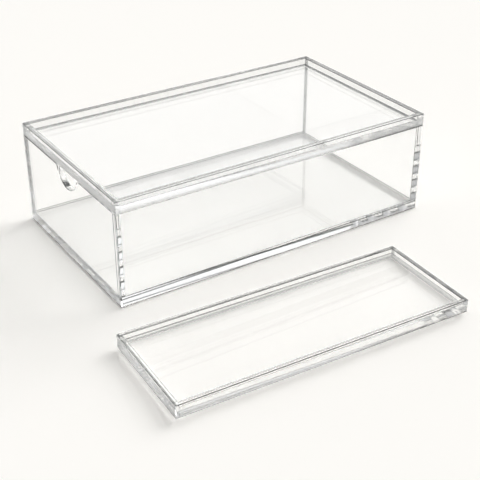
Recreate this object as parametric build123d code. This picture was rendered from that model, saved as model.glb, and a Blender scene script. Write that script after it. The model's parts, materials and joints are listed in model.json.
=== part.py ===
from build123d import *
import math
import os

# Clear box of bonded sheet, with a lift-off lid and a smaller lid of the same make
# lying in front of it. Millimetres, +Z up. The origin is the middle of the box's
# underside, +X runs along the box's length and +Y to its back.

# Box
box_length = 240.0
box_width = 138.0
box_height = 74.0  # over the closed lid
wall_sheet = 4.0
base_sheet = 6.0
edge_break = 0.4  # polished arris on every edge that stays open

# Thumb notch, in the middle of the left wall's top edge
notch_width = 28.0
notch_depth = 12.0

# Lid
rim_sheet = 4.0
rim_height = 8.5
lid_sheet = 4.0
locator_sheet = 2.0  # of both lids
locator_clearance = 0.5  # each side, between a locator and the walls that it drops between
seat_gap = 0.15  # thin film of air under a lid that is down

# Small lid that lies in front
small_lid_length = 200.0
small_lid_width = 75.0
small_rim_sheet = 3.0
small_rim_height = 9.0
small_lid_sheet = 6.0
small_lid_left = 26.0  # its near left corner, left of the box's left wall
small_lid_front = 111.5  # the same corner, in front of the box's front wall
small_lid_turn = 2.9  # degrees, its right end nearer the viewer

# Cutting tools pass what they cut by this much
overrun = 1.0

wall_top = box_height - rim_height - seat_gap
lid_seat = box_height - rim_height
notch_radius = (notch_width**2 / 4 + notch_depth**2) / (2 * notch_depth)


def block(x_size, y_size, low_z, high_z):
    """A plain block about the Z axis."""
    low = (Align.CENTER, Align.CENTER, Align.MIN)
    return Pos(0, 0, low_z) * Box(x_size, y_size, high_z - low_z, align=low)


def corner_edges(shape):
    """The four outermost upright edges."""
    upright = shape.edges().filter_by(Axis.Z)
    return upright.sort_by(lambda edge: math.hypot(edge.center().X, edge.center().Y))[-4:]


def ring(length, width, sheet, low_z, high_z):
    """Four boards standing on edge round a rectangle, as one shape."""
    inside = block(length - 2 * sheet, width - 2 * sheet, low_z - overrun, high_z + overrun)
    return block(length, width, low_z, high_z) - inside


def boards(shape, length, width, sheet):
    """Cut a ring into its boards: the front and back run full length, the ends fit between."""
    bounds = shape.bounding_box()
    low_z = bounds.min.Z - overrun
    high_z = bounds.max.Z + overrun
    long_board = block(length + 2 * overrun, sheet + overrun, low_z, high_z)
    end_board = block(sheet + overrun, width - 2 * sheet, low_z, high_z)
    to_long = (width - sheet + overrun) / 2
    to_end = (length - sheet + overrun) / 2
    return {
        "front": (shape & Pos(0, -to_long, 0) * long_board).solid(),
        "back": (shape & Pos(0, to_long, 0) * long_board).solid(),
        "left": (shape & Pos(-to_end, 0, 0) * end_board).solid(),
        "right": (shape & Pos(to_end, 0, 0) * end_board).solid(),
    }


def base_plate():
    """The base runs under all four walls."""
    plate = block(box_length, box_width, 0, base_sheet)
    open_edges = corner_edges(plate) + plate.edges().group_by(Axis.Z)[0]
    return chamfer(open_edges, edge_break).solid()


def thumb_notch():
    """A rod along X that takes the notch out of the left wall."""
    reach = wall_sheet + 2 * overrun
    rod = Rot(0, 90, 0) * Cylinder(notch_radius, reach)
    return Pos((wall_sheet - box_length) / 2, 0, wall_top - notch_depth + notch_radius) * rod


def walls():
    """The four walls, with the notch and the polished top edges."""
    shape = ring(box_length, box_width, wall_sheet, base_sheet, wall_top) - thumb_notch()
    level = shape.edges().group_by(Axis.Z)[-1]
    arcs = shape.edges().filter_by(GeomType.CIRCLE)
    shape = chamfer(level + arcs + corner_edges(shape), edge_break)
    return boards(shape, box_length, box_width, wall_sheet)


def rim(length, width, sheet, low_z, high_z):
    """The four bars round a lid, polished on every edge but the bonded one."""
    shape = ring(length, width, sheet, low_z, high_z)
    faces = shape.faces().sort_by(Axis.Z)
    underneath = faces[0].outer_wire().edges()
    shape = chamfer(faces[-1].edges() + underneath + corner_edges(shape), edge_break)
    return boards(shape, length, width, sheet)


def locator(length, width, sheet, high_z):
    """The plate under a lid that drops between walls as thick as the lid's rim."""
    inset = 2 * (sheet + locator_clearance)
    plate = block(length - inset, width - inset, high_z - locator_sheet, high_z)
    open_edges = corner_edges(plate) + plate.edges().group_by(Axis.Z)[0]
    return chamfer(open_edges, edge_break).solid()


def lid(name, length, width, sheet, low_z, plate_z, high_z):
    """One whole lid: a plate held flush in a raised rim, with its locator beneath."""
    plate = block(length - 2 * sheet, width - 2 * sheet, low_z, plate_z)
    pieces = {
        f"{name}_plate": plate.solid(),
        f"{name}_locator": locator(length, width, sheet, low_z),
    }
    for side, bar in rim(length, width, sheet, low_z, high_z).items():
        pieces[f"{name}_rim_{side}"] = bar
    return pieces


def small_lid():
    """The smaller lid, standing on its locator in front of the box."""
    corner = Pos(-box_length / 2 - small_lid_left, -box_width / 2 - small_lid_front, 0)
    place = corner * Rot(0, 0, -small_lid_turn) * Pos(small_lid_length / 2, small_lid_width / 2, 0)
    plate_z = locator_sheet + small_lid_sheet
    high_z = locator_sheet + small_rim_height
    pieces = lid(
        "small_lid", small_lid_length, small_lid_width, small_rim_sheet, locator_sheet, plate_z, high_z
    )
    return {name: place * piece for name, piece in pieces.items()}


def all_pieces():
    pieces = {"base_plate": base_plate()}
    for side, board in walls().items():
        pieces[f"{side}_wall"] = board
    plate_z = lid_seat + lid_sheet
    pieces.update(lid("lid", box_length, box_width, rim_sheet, lid_seat, plate_z, box_height))
    pieces.update(small_lid())
    return pieces


os.makedirs("parts", exist_ok=True)
for name, piece in all_pieces().items():
    export_step(piece, f"parts/{name}.step")
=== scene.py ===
import json
import math

import bpy
import numpy as np
from mathutils import Matrix, Vector


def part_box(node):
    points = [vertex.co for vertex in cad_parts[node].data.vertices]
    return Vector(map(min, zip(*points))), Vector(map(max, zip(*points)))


# Looks of the clear box, its lid and the small lid in front of it. Metres, in the CAD's frame.
# Azimuths run from +Y, the back, towards +X, the right.

# Camera, fitted to the corners of the box and the small lid. It stands at this azimuth, and
# its place is given from the box's front left bottom corner. Lens and sensor in millimetres.
CAMERA_AZIMUTH = math.radians(213.16)
CAMERA_ELEVATION = math.radians(30.16)
CAMERA_LENS = 76.5
CAMERA_SENSOR = 36.0
CAMERA_RIGHT = 0.0730
CAMERA_UP = 0.0423
CAMERA_BACK = 0.6311

WHITE = (1.0, 1.0, 1.0, 1.0)

# Acrylic sheet
IOR = 1.49
FACE_TINT = {
    "box": (0.986, 0.989, 0.990, 1.0),
    "lid": (0.968, 0.971, 0.972, 1.0),
    "small_lid": (0.997, 0.998, 0.998, 1.0),
}
EDGE_TINT = (0.950, 0.956, 0.956, 1.0)

# Share of a normal along an axis: more than FACE_FROM on a side square to the axis, and
# between the two on an arris
FACE_FROM = 0.95
ARRIS_FROM = 0.3

# Waves on the faces, and marks of saw and polish on the edges: how many to a metre, how fine
# and how high. Marks are stretched across the sheet, and lower on level edges.
WAVES = 18.0
WAVE_DETAIL = 1.0
WAVE_HEIGHT = {"box": 0.00005, "lid": 0.00002, "small_lid": 0.00001}
MARKS = 420.0
MARKS_ACROSS = 35.0
MARK_DETAIL = 3.0
MARK_HEIGHT = {"box": 0.00003, "lid": 0.000001, "small_lid": 0.000004}
LEVEL_MARKS = 0.1

# Roughness: the most that marks give an edge, that of the lines, and that of the lid's rim
# as high as its plate is bonded to it
EDGE_ROUGHNESS = 0.05
LINE_ROUGHNESS = 0.1
BAND_ROUGHNESS = 0.15

# Lines along arrises and seams, and how far from a bond a seam's line reaches. A seam's line is a
# dark joint; an arris's line is painted shade, the dark that a clear edge shows.
LINE_TINT = {
    "box": (0.020, 0.022, 0.022, 1.0),
    "lid": (0.160, 0.165, 0.165, 1.0),
    "small_lid": (0.280, 0.285, 0.285, 1.0),
}
SEAM = 0.0004

# Painted shade: broader, darker seams at the back and right of a body, standing for the shade that
# shows through the far sheets
FAR_SHADE_TINT = {
    "box": (0.300, 0.310, 0.310, 1.0),
    "lid": (0.260, 0.270, 0.270, 1.0),
    "small_lid": (0.500, 0.510, 0.510, 1.0),
}
FAR_SHADE_WIDTH = 0.0015

# Painted contact shadow: a dark foot of the base and of the lids' front and left bars, standing for
# the shade where they stand on what is below them, and its height
CONTACT_SHADE_TINT = {
    "box": (0.015, 0.016, 0.016, 1.0),
    "lid": (0.040, 0.042, 0.042, 1.0),
    "small_lid": (0.050, 0.052, 0.052, 1.0),
}
CONTACT_SHADE_HEIGHT = {"box": 0.0008, "lid": 0.0006, "small_lid": 0.0008}

# Solvent bonds between the sheets, darker along a narrow border. Two sheets meet if they are
# closer than REACH. A bond wider than WIDE_BOND, as under the plates, shows no seam.
REACH = 0.00002
WIDE_BOND = 0.01
BOND_BORDER = 0.00025
BOND_LINE = (0.820, 0.830, 0.830, 1.0)

# Digits to which the corners of a turned plate are rounded, in metres
CORNER_DIGITS = 6

# Floor and backdrop. Glass and gloss see the backdrop too, less and less as the sine of the
# elevation crosses the range.
FLOOR_SIZE = 8.0
FLOOR_DROP = 0.0002
BACKGROUND = (0.982, 0.965, 0.930, 1.0)
BACKDROP_RANGE = (math.sin(math.radians(8)), math.sin(math.radians(16)))

# Light, in shares of LEVEL: brighter towards SIDE_AZIMUTH, as the share of that direction
# crosses its range, and even high up, as the sine of the elevation crosses its own. The
# softbox fades between two angles from its middle.
LEVEL = 0.832
SIDE_AZIMUTH = math.radians(60)
SIDE_RANGE = (-1.0, 0.6)
SIDE_DARKEST = 0.06
SIDE_BRIGHTEST = 1.35
ABOVE = 0.72
ABOVE_RANGE = (math.sin(math.radians(30)), math.sin(math.radians(52)))
SOFTBOX_AZIMUTH = math.radians(84)
SOFTBOX_ELEVATION = math.radians(36)
SOFTBOX_RANGE = (math.cos(math.radians(25)), math.cos(math.radians(14)))
SOFTBOX = 6.4

# Light bounces often inside clear sheet, and crosses many bonds
BOUNCES = 48
TRANSPARENT_BOUNCES = 160

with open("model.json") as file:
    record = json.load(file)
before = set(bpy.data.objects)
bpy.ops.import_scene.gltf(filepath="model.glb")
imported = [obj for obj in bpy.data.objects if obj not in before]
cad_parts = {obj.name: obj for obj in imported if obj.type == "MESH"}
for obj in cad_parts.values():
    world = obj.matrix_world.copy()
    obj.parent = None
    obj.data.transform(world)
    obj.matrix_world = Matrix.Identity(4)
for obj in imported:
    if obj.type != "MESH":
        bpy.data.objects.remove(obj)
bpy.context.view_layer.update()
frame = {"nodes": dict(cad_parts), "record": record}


# Node helpers


def new_tree(owner):
    owner.use_nodes = True
    owner.node_tree.nodes.clear()
    return owner.node_tree


def fill(tree, node, inputs):
    """Link a socket to an input, or set it. An input is given by its name, or by _ and its number."""
    for name, value in inputs.items():
        key = int(name[1:]) if name[0] == "_" else name.replace("_", " ")
        if isinstance(value, bpy.types.NodeSocket):
            tree.links.new(value, node.inputs[key])
        else:
            node.inputs[key].default_value = value
    return node


def add(tree, kind, **inputs):
    return fill(tree, tree.nodes.new("ShaderNode" + kind), inputs)


def maths(tree, operation, *values):
    node = tree.nodes.new("ShaderNodeMath")
    node.operation = operation
    return fill(tree, node, {f"_{i}": value for i, value in enumerate(values)}).outputs[0]


def vector(tree, operation, *values):
    node = tree.nodes.new("ShaderNodeVectorMath")
    node.operation = operation
    fill(tree, node, {f"_{i}": value for i, value in enumerate(values)})
    return node.outputs["Value" if operation == "DOT_PRODUCT" else "Vector"]


def mix(tree, factor, a, b):
    node = tree.nodes.new("ShaderNodeMix")
    return fill(tree, node, {"_0": factor, "_2": a, "_3": b}).outputs[0]


def mix_colour(tree, factor, a, b):
    node = tree.nodes.new("ShaderNodeMix")
    node.data_type = "RGBA"
    return fill(tree, node, {"_0": factor, "_6": a, "_7": b}).outputs[2]


def ramp(tree, value, span, low, high):
    """From low to high, softly, as the value crosses the span."""
    node = tree.nodes.new("ShaderNodeMapRange")
    node.interpolation_type = "SMOOTHSTEP"
    inputs = {"_0": value, "_1": span[0], "_2": span[1], "_3": low, "_4": high}
    return fill(tree, node, inputs).outputs[0]


def turned(tree, place, angle):
    """The coordinates turned about Z, so that a turned piece's sides lie along X and Y."""
    if not angle:
        return place
    node = tree.nodes.new("ShaderNodeVectorRotate")
    node.rotation_type = "Z_AXIS"
    return fill(tree, node, {"Vector": place, "Angle": -angle}).outputs[0]


def inside(tree, place, low, high):
    """1 where the place lies between two corners, else 0."""
    away = vector(tree, "SUBTRACT", place, (low + high) / 2)
    away = vector(tree, "ABSOLUTE", away)
    away = vector(tree, "SUBTRACT", away, (high - low) / 2)
    parts = add(tree, "SeparateXYZ", Vector=away).outputs
    most = maths(tree, "MAXIMUM", maths(tree, "MAXIMUM", parts[0], parts[1]), parts[2])
    return maths(tree, "LESS_THAN", most, 0.0)


def inside_any(tree, place, boxes, across, along=REACH):
    """1 where the place lies in any of some flat boxes, once these are grown."""
    result = 0.0
    for box in boxes:
        result = maths(tree, "MAXIMUM", result, inside(tree, place, *grown(*box, across, along)))
    return result


# Where the pieces are and where they are bonded


def box_of(node, turn):
    """Lowest and highest corner of a node, in axes turned about Z."""
    places = np.array([turn @ v.co for v in frame["nodes"][node].data.vertices])
    return Vector(places.min(0)), Vector(places.max(0))


def turn_of(node):
    """The turn about Z of an oblong plate, by its longer side from its leftmost corner."""
    vertices = frame["nodes"][node].data.vertices
    corners = sorted({v.co.xy.to_tuple(CORNER_DIGITS) for v in vertices})
    sides = [Vector(corner) - Vector(corners[0]) for corner in corners[1:]]
    long_side = sorted(sides, key=lambda side: side.length)[1]
    return math.atan(long_side.y / long_side.x)


def flat_axis(low, high):
    return min(range(3), key=lambda i: high[i] - low[i])


def contacts(name, boxes):
    """The flat boxes in which a piece meets the others of its body."""
    found = []
    for other in boxes:
        if other == name:
            continue
        low = Vector(max(boxes[name][0][i], boxes[other][0][i]) for i in range(3))
        high = Vector(min(boxes[name][1][i], boxes[other][1][i]) for i in range(3))
        spans = sorted(high - low)
        if spans[0] > -REACH and spans[1] > REACH:
            found.append((low, high))
    return found


def grown(low, high, across, along):
    """A flat box made thicker, and larger or smaller in its own plane."""
    flat = flat_axis(low, high)
    step = Vector(across if i == flat else along for i in range(3))
    return low - step, high + step


def is_wide(low, high):
    return sorted(high - low)[1] > WIDE_BOND


def is_far(low, high, boxes):
    """Whether an upright bond lies at the back or the right of its body."""
    flat = flat_axis(low, high)
    start = min(box[0][flat] for box in boxes.values())
    end = max(box[1][flat] for box in boxes.values())
    return flat < 2 and low[flat] > (start + end) / 2


# Materials


def sides_of(tree, normal, thin):
    """Masks of a sheet's faces, of its arrises, and of its level and its upright sides.

    A mask is 1 on what its name says, else 0.
    """
    turns = add(tree, "SeparateXYZ", Vector=vector(tree, "ABSOLUTE", normal)).outputs
    face = maths(tree, "GREATER_THAN", turns[thin], FACE_FROM)
    return {
        "face": face,
        "arris": maths(tree, "SUBTRACT", maths(tree, "GREATER_THAN", turns[thin], ARRIS_FROM), face),
        "level": maths(tree, "GREATER_THAN", turns[2], FACE_FROM),
        "upright": maths(tree, "LESS_THAN", turns[2], ARRIS_FROM),
    }


def bonds_of(tree, name, boxes, place):
    """Masks of whole bonds, of what their border encloses, of narrow seams and of far ones, which
    carry painted shade.
    """
    meetings = contacts(name, boxes)
    narrow = [box for box in meetings if not is_wide(*box)]
    far = [box for box in narrow if is_far(*box, boxes)]
    return {
        "whole": inside_any(tree, place, meetings, REACH),
        "enclosed": inside_any(tree, place, meetings, REACH, -BOND_BORDER),
        "seam": inside_any(tree, place, narrow, SEAM),
        "far_painted_shade": inside_any(tree, place, far, FAR_SHADE_WIDTH),
    }


def lines_of(tree, name, sides, bonds):
    """Mask of the arrises, whose dark lines are painted shade, and of the seams, whose lines are dark
    joints. Of a wall's arrises, only the upright ones show.
    """
    if "locator" in name:
        return 0.0
    arris = sides["arris"]
    if "wall" in name:
        arris = maths(tree, "MULTIPLY", arris, sides["upright"])
    return maths(tree, "MAXIMUM", arris, bonds["seam"])


def contact_shade_of(tree, name, height, top, level):
    """Mask of the painted contact shadow at the foot of the base and of a lid's near bars, up to its
    top.
    """
    if name != "base_plate" and not name.endswith(("rim_front", "rim_left")):
        return 0.0
    return maths(tree, "SUBTRACT", maths(tree, "LESS_THAN", height, top), level)


def marks_of(tree, place, thin):
    """Marks of saw and polish, stretched across the sheet."""
    scale = [MARKS] * 3
    scale[thin] = MARKS_ACROSS
    stretched = vector(tree, "MULTIPLY", place, scale)
    return add(tree, "TexNoise", Vector=stretched, Scale=1.0, Detail=MARK_DETAIL).outputs[0]


def relief(tree, body, place, marks, sides):
    """Waves on the faces and marks on the edges."""
    waves = add(tree, "TexNoise", Vector=place, Scale=WAVES, Detail=WAVE_DETAIL).outputs[0]
    waves = maths(tree, "MULTIPLY", waves, WAVE_HEIGHT[body])
    mark_height = mix(tree, sides["level"], MARK_HEIGHT[body], LEVEL_MARKS * MARK_HEIGHT[body])
    marks = maths(tree, "MULTIPLY", marks, mark_height)
    height = mix(tree, sides["face"], marks, waves)
    return add(tree, "Bump", Height=height, Distance=1.0, Strength=1.0).outputs[0]


def acrylic(name, body, boxes, angle):
    """Clear sheet, with its lines and its relief, open towards the pieces that it is bonded to."""
    material = bpy.data.materials.new(name + "_acrylic")
    tree = new_tree(material)
    coordinates = add(tree, "TexCoord").outputs
    place = turned(tree, coordinates["Object"], angle)
    normal = turned(tree, coordinates["Normal"], angle)
    height = add(tree, "SeparateXYZ", Vector=place).outputs[2]
    thin = flat_axis(*boxes[name])

    sides = sides_of(tree, normal, thin)
    bonds = bonds_of(tree, name, boxes, place)
    line = lines_of(tree, name, sides, bonds)
    contact_shade = contact_shade_of(tree, name, height, boxes[name][0].z + CONTACT_SHADE_HEIGHT[body], sides["level"])
    marks = marks_of(tree, place, thin)

    tint = mix_colour(tree, sides["face"], EDGE_TINT, FACE_TINT[body])
    # Painted shade: the far seams are darkened to stand for the shade seen through them
    tint = mix_colour(tree, bonds["far_painted_shade"], tint, FAR_SHADE_TINT[body])
    # Painted shade on the arrises' lines; the seams' lines are dark joints
    tint = mix_colour(tree, line, tint, LINE_TINT[body])
    # Painted contact shadow: the foot is darkened to stand for the shade where the piece stands
    tint = mix_colour(tree, contact_shade, tint, CONTACT_SHADE_TINT[body])
    rough = mix(tree, sides["face"], maths(tree, "MULTIPLY", marks, EDGE_ROUGHNESS), 0.0)
    rough = mix(tree, line, rough, LINE_ROUGHNESS)
    if name.startswith("lid_rim"):
        band = maths(tree, "LESS_THAN", height, boxes["lid_plate"][1].z)
        rough = mix(tree, band, rough, BAND_ROUGHNESS)

    sheet = add(
        tree,
        "BsdfPrincipled",
        Base_Color=tint,
        Roughness=rough,
        IOR=IOR,
        Transmission_Weight=1.0,
        Normal=relief(tree, body, place, marks, sides),
    )
    bond = add(tree, "BsdfTransparent", Color=mix_colour(tree, bonds["enclosed"], BOND_LINE, WHITE))
    surface = add(tree, "MixShader", _0=bonds["whole"], _1=sheet.outputs[0], _2=bond.outputs[0])
    add(tree, "OutputMaterial", Surface=surface.outputs[0])
    return material


def dress():
    for body, members in frame["record"]["behaviour"]["bodies"].items():
        angle = turn_of("small_lid_plate") if body == "small_lid" else 0.0
        turn = Matrix.Rotation(-angle, 3, "Z")
        boxes = {name: box_of(name, turn) for name in members}
        for name in members:
            slots = frame["nodes"][name].data.materials
            slots.clear()
            slots.append(acrylic(name, body, boxes, angle))


# Scene


def direction(azimuth, elevation):
    level = math.cos(elevation)
    return Vector((math.sin(azimuth) * level, math.cos(azimuth) * level, math.sin(elevation)))


def camera():
    back = direction(CAMERA_AZIMUTH, CAMERA_ELEVATION)
    right = Vector((0, 0, 1)).cross(back).normalized()
    up = back.cross(right)
    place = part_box("base_plate")[0] + right * CAMERA_RIGHT + up * CAMERA_UP + back * CAMERA_BACK
    seen = bpy.data.objects.new("camera", bpy.data.cameras.new("camera"))
    seen.data.sensor_width = CAMERA_SENSOR
    seen.data.lens = CAMERA_LENS
    seen.matrix_world = Matrix.Translation(place) @ Matrix((right, up, back)).transposed().to_4x4()
    bpy.context.scene.collection.objects.link(seen)
    bpy.context.scene.camera = seen


def floor():
    far = FLOOR_SIZE / 2
    corners = [(-far, -far, 0), (far, -far, 0), (far, far, 0), (-far, far, 0)]
    mesh = bpy.data.meshes.new("floor")
    mesh.from_pydata(corners, [], [(0, 1, 2, 3)])
    plane = bpy.data.objects.new("floor", mesh)
    plane.location.z = -FLOOR_DROP
    bpy.context.scene.collection.objects.link(plane)
    material = bpy.data.materials.new("floor")
    tree = new_tree(material)
    matt = add(tree, "BsdfDiffuse", Color=BACKGROUND)
    add(tree, "OutputMaterial", Surface=matt.outputs[0])
    mesh.materials.append(material)


def studio_light(tree, towards, height):
    """Bright at the back and right, dim behind the camera, with a softbox on the right."""
    side = vector(tree, "DOT_PRODUCT", towards, direction(SIDE_AZIMUTH, 0.0))
    softbox = vector(tree, "DOT_PRODUCT", towards, direction(SOFTBOX_AZIMUTH, SOFTBOX_ELEVATION))
    strength = ramp(tree, side, SIDE_RANGE, SIDE_DARKEST * LEVEL, SIDE_BRIGHTEST * LEVEL)
    strength = mix(tree, ramp(tree, height, ABOVE_RANGE, 0.0, 1.0), strength, ABOVE * LEVEL)
    softbox = ramp(tree, softbox, SOFTBOX_RANGE, 0.0, SOFTBOX * LEVEL)
    strength = maths(tree, "ADD", strength, softbox)
    return add(tree, "Background", Color=WHITE, Strength=strength).outputs[0]


def backdrop_mask(tree, height):
    """The camera sees a plain backdrop, and so do gloss and glass as far up as it reaches."""
    paths = add(tree, "LightPath").outputs
    through = maths(tree, "MAXIMUM", paths["Is Glossy Ray"], paths["Is Transmission Ray"])
    through = maths(tree, "MULTIPLY", through, ramp(tree, height, BACKDROP_RANGE, 1.0, 0.0))
    return maths(tree, "MAXIMUM", paths["Is Camera Ray"], through)


def surroundings():
    """The studio's light, with a plain backdrop in front of it."""
    world = bpy.data.worlds.new("studio")
    bpy.context.scene.world = world
    tree = new_tree(world)
    towards = add(tree, "TexCoord").outputs["Generated"]
    height = add(tree, "SeparateXYZ", Vector=towards).outputs["Z"]
    lit = studio_light(tree, towards, height)
    backdrop = add(tree, "Background", Color=BACKGROUND, Strength=1.0).outputs[0]
    both = add(tree, "MixShader", _0=backdrop_mask(tree, height), _1=lit, _2=backdrop)
    add(tree, "OutputWorld", Surface=both.outputs[0])


def settings():
    scene = bpy.context.scene
    scene.view_settings.view_transform = "Standard"
    scene.cycles.max_bounces = BOUNCES
    scene.cycles.transmission_bounces = BOUNCES
    scene.cycles.glossy_bounces = BOUNCES
    scene.cycles.transparent_max_bounces = TRANSPARENT_BOUNCES
    scene.cycles.blur_glossy = 0.0


camera()
dress()
floor()
surroundings()
settings()
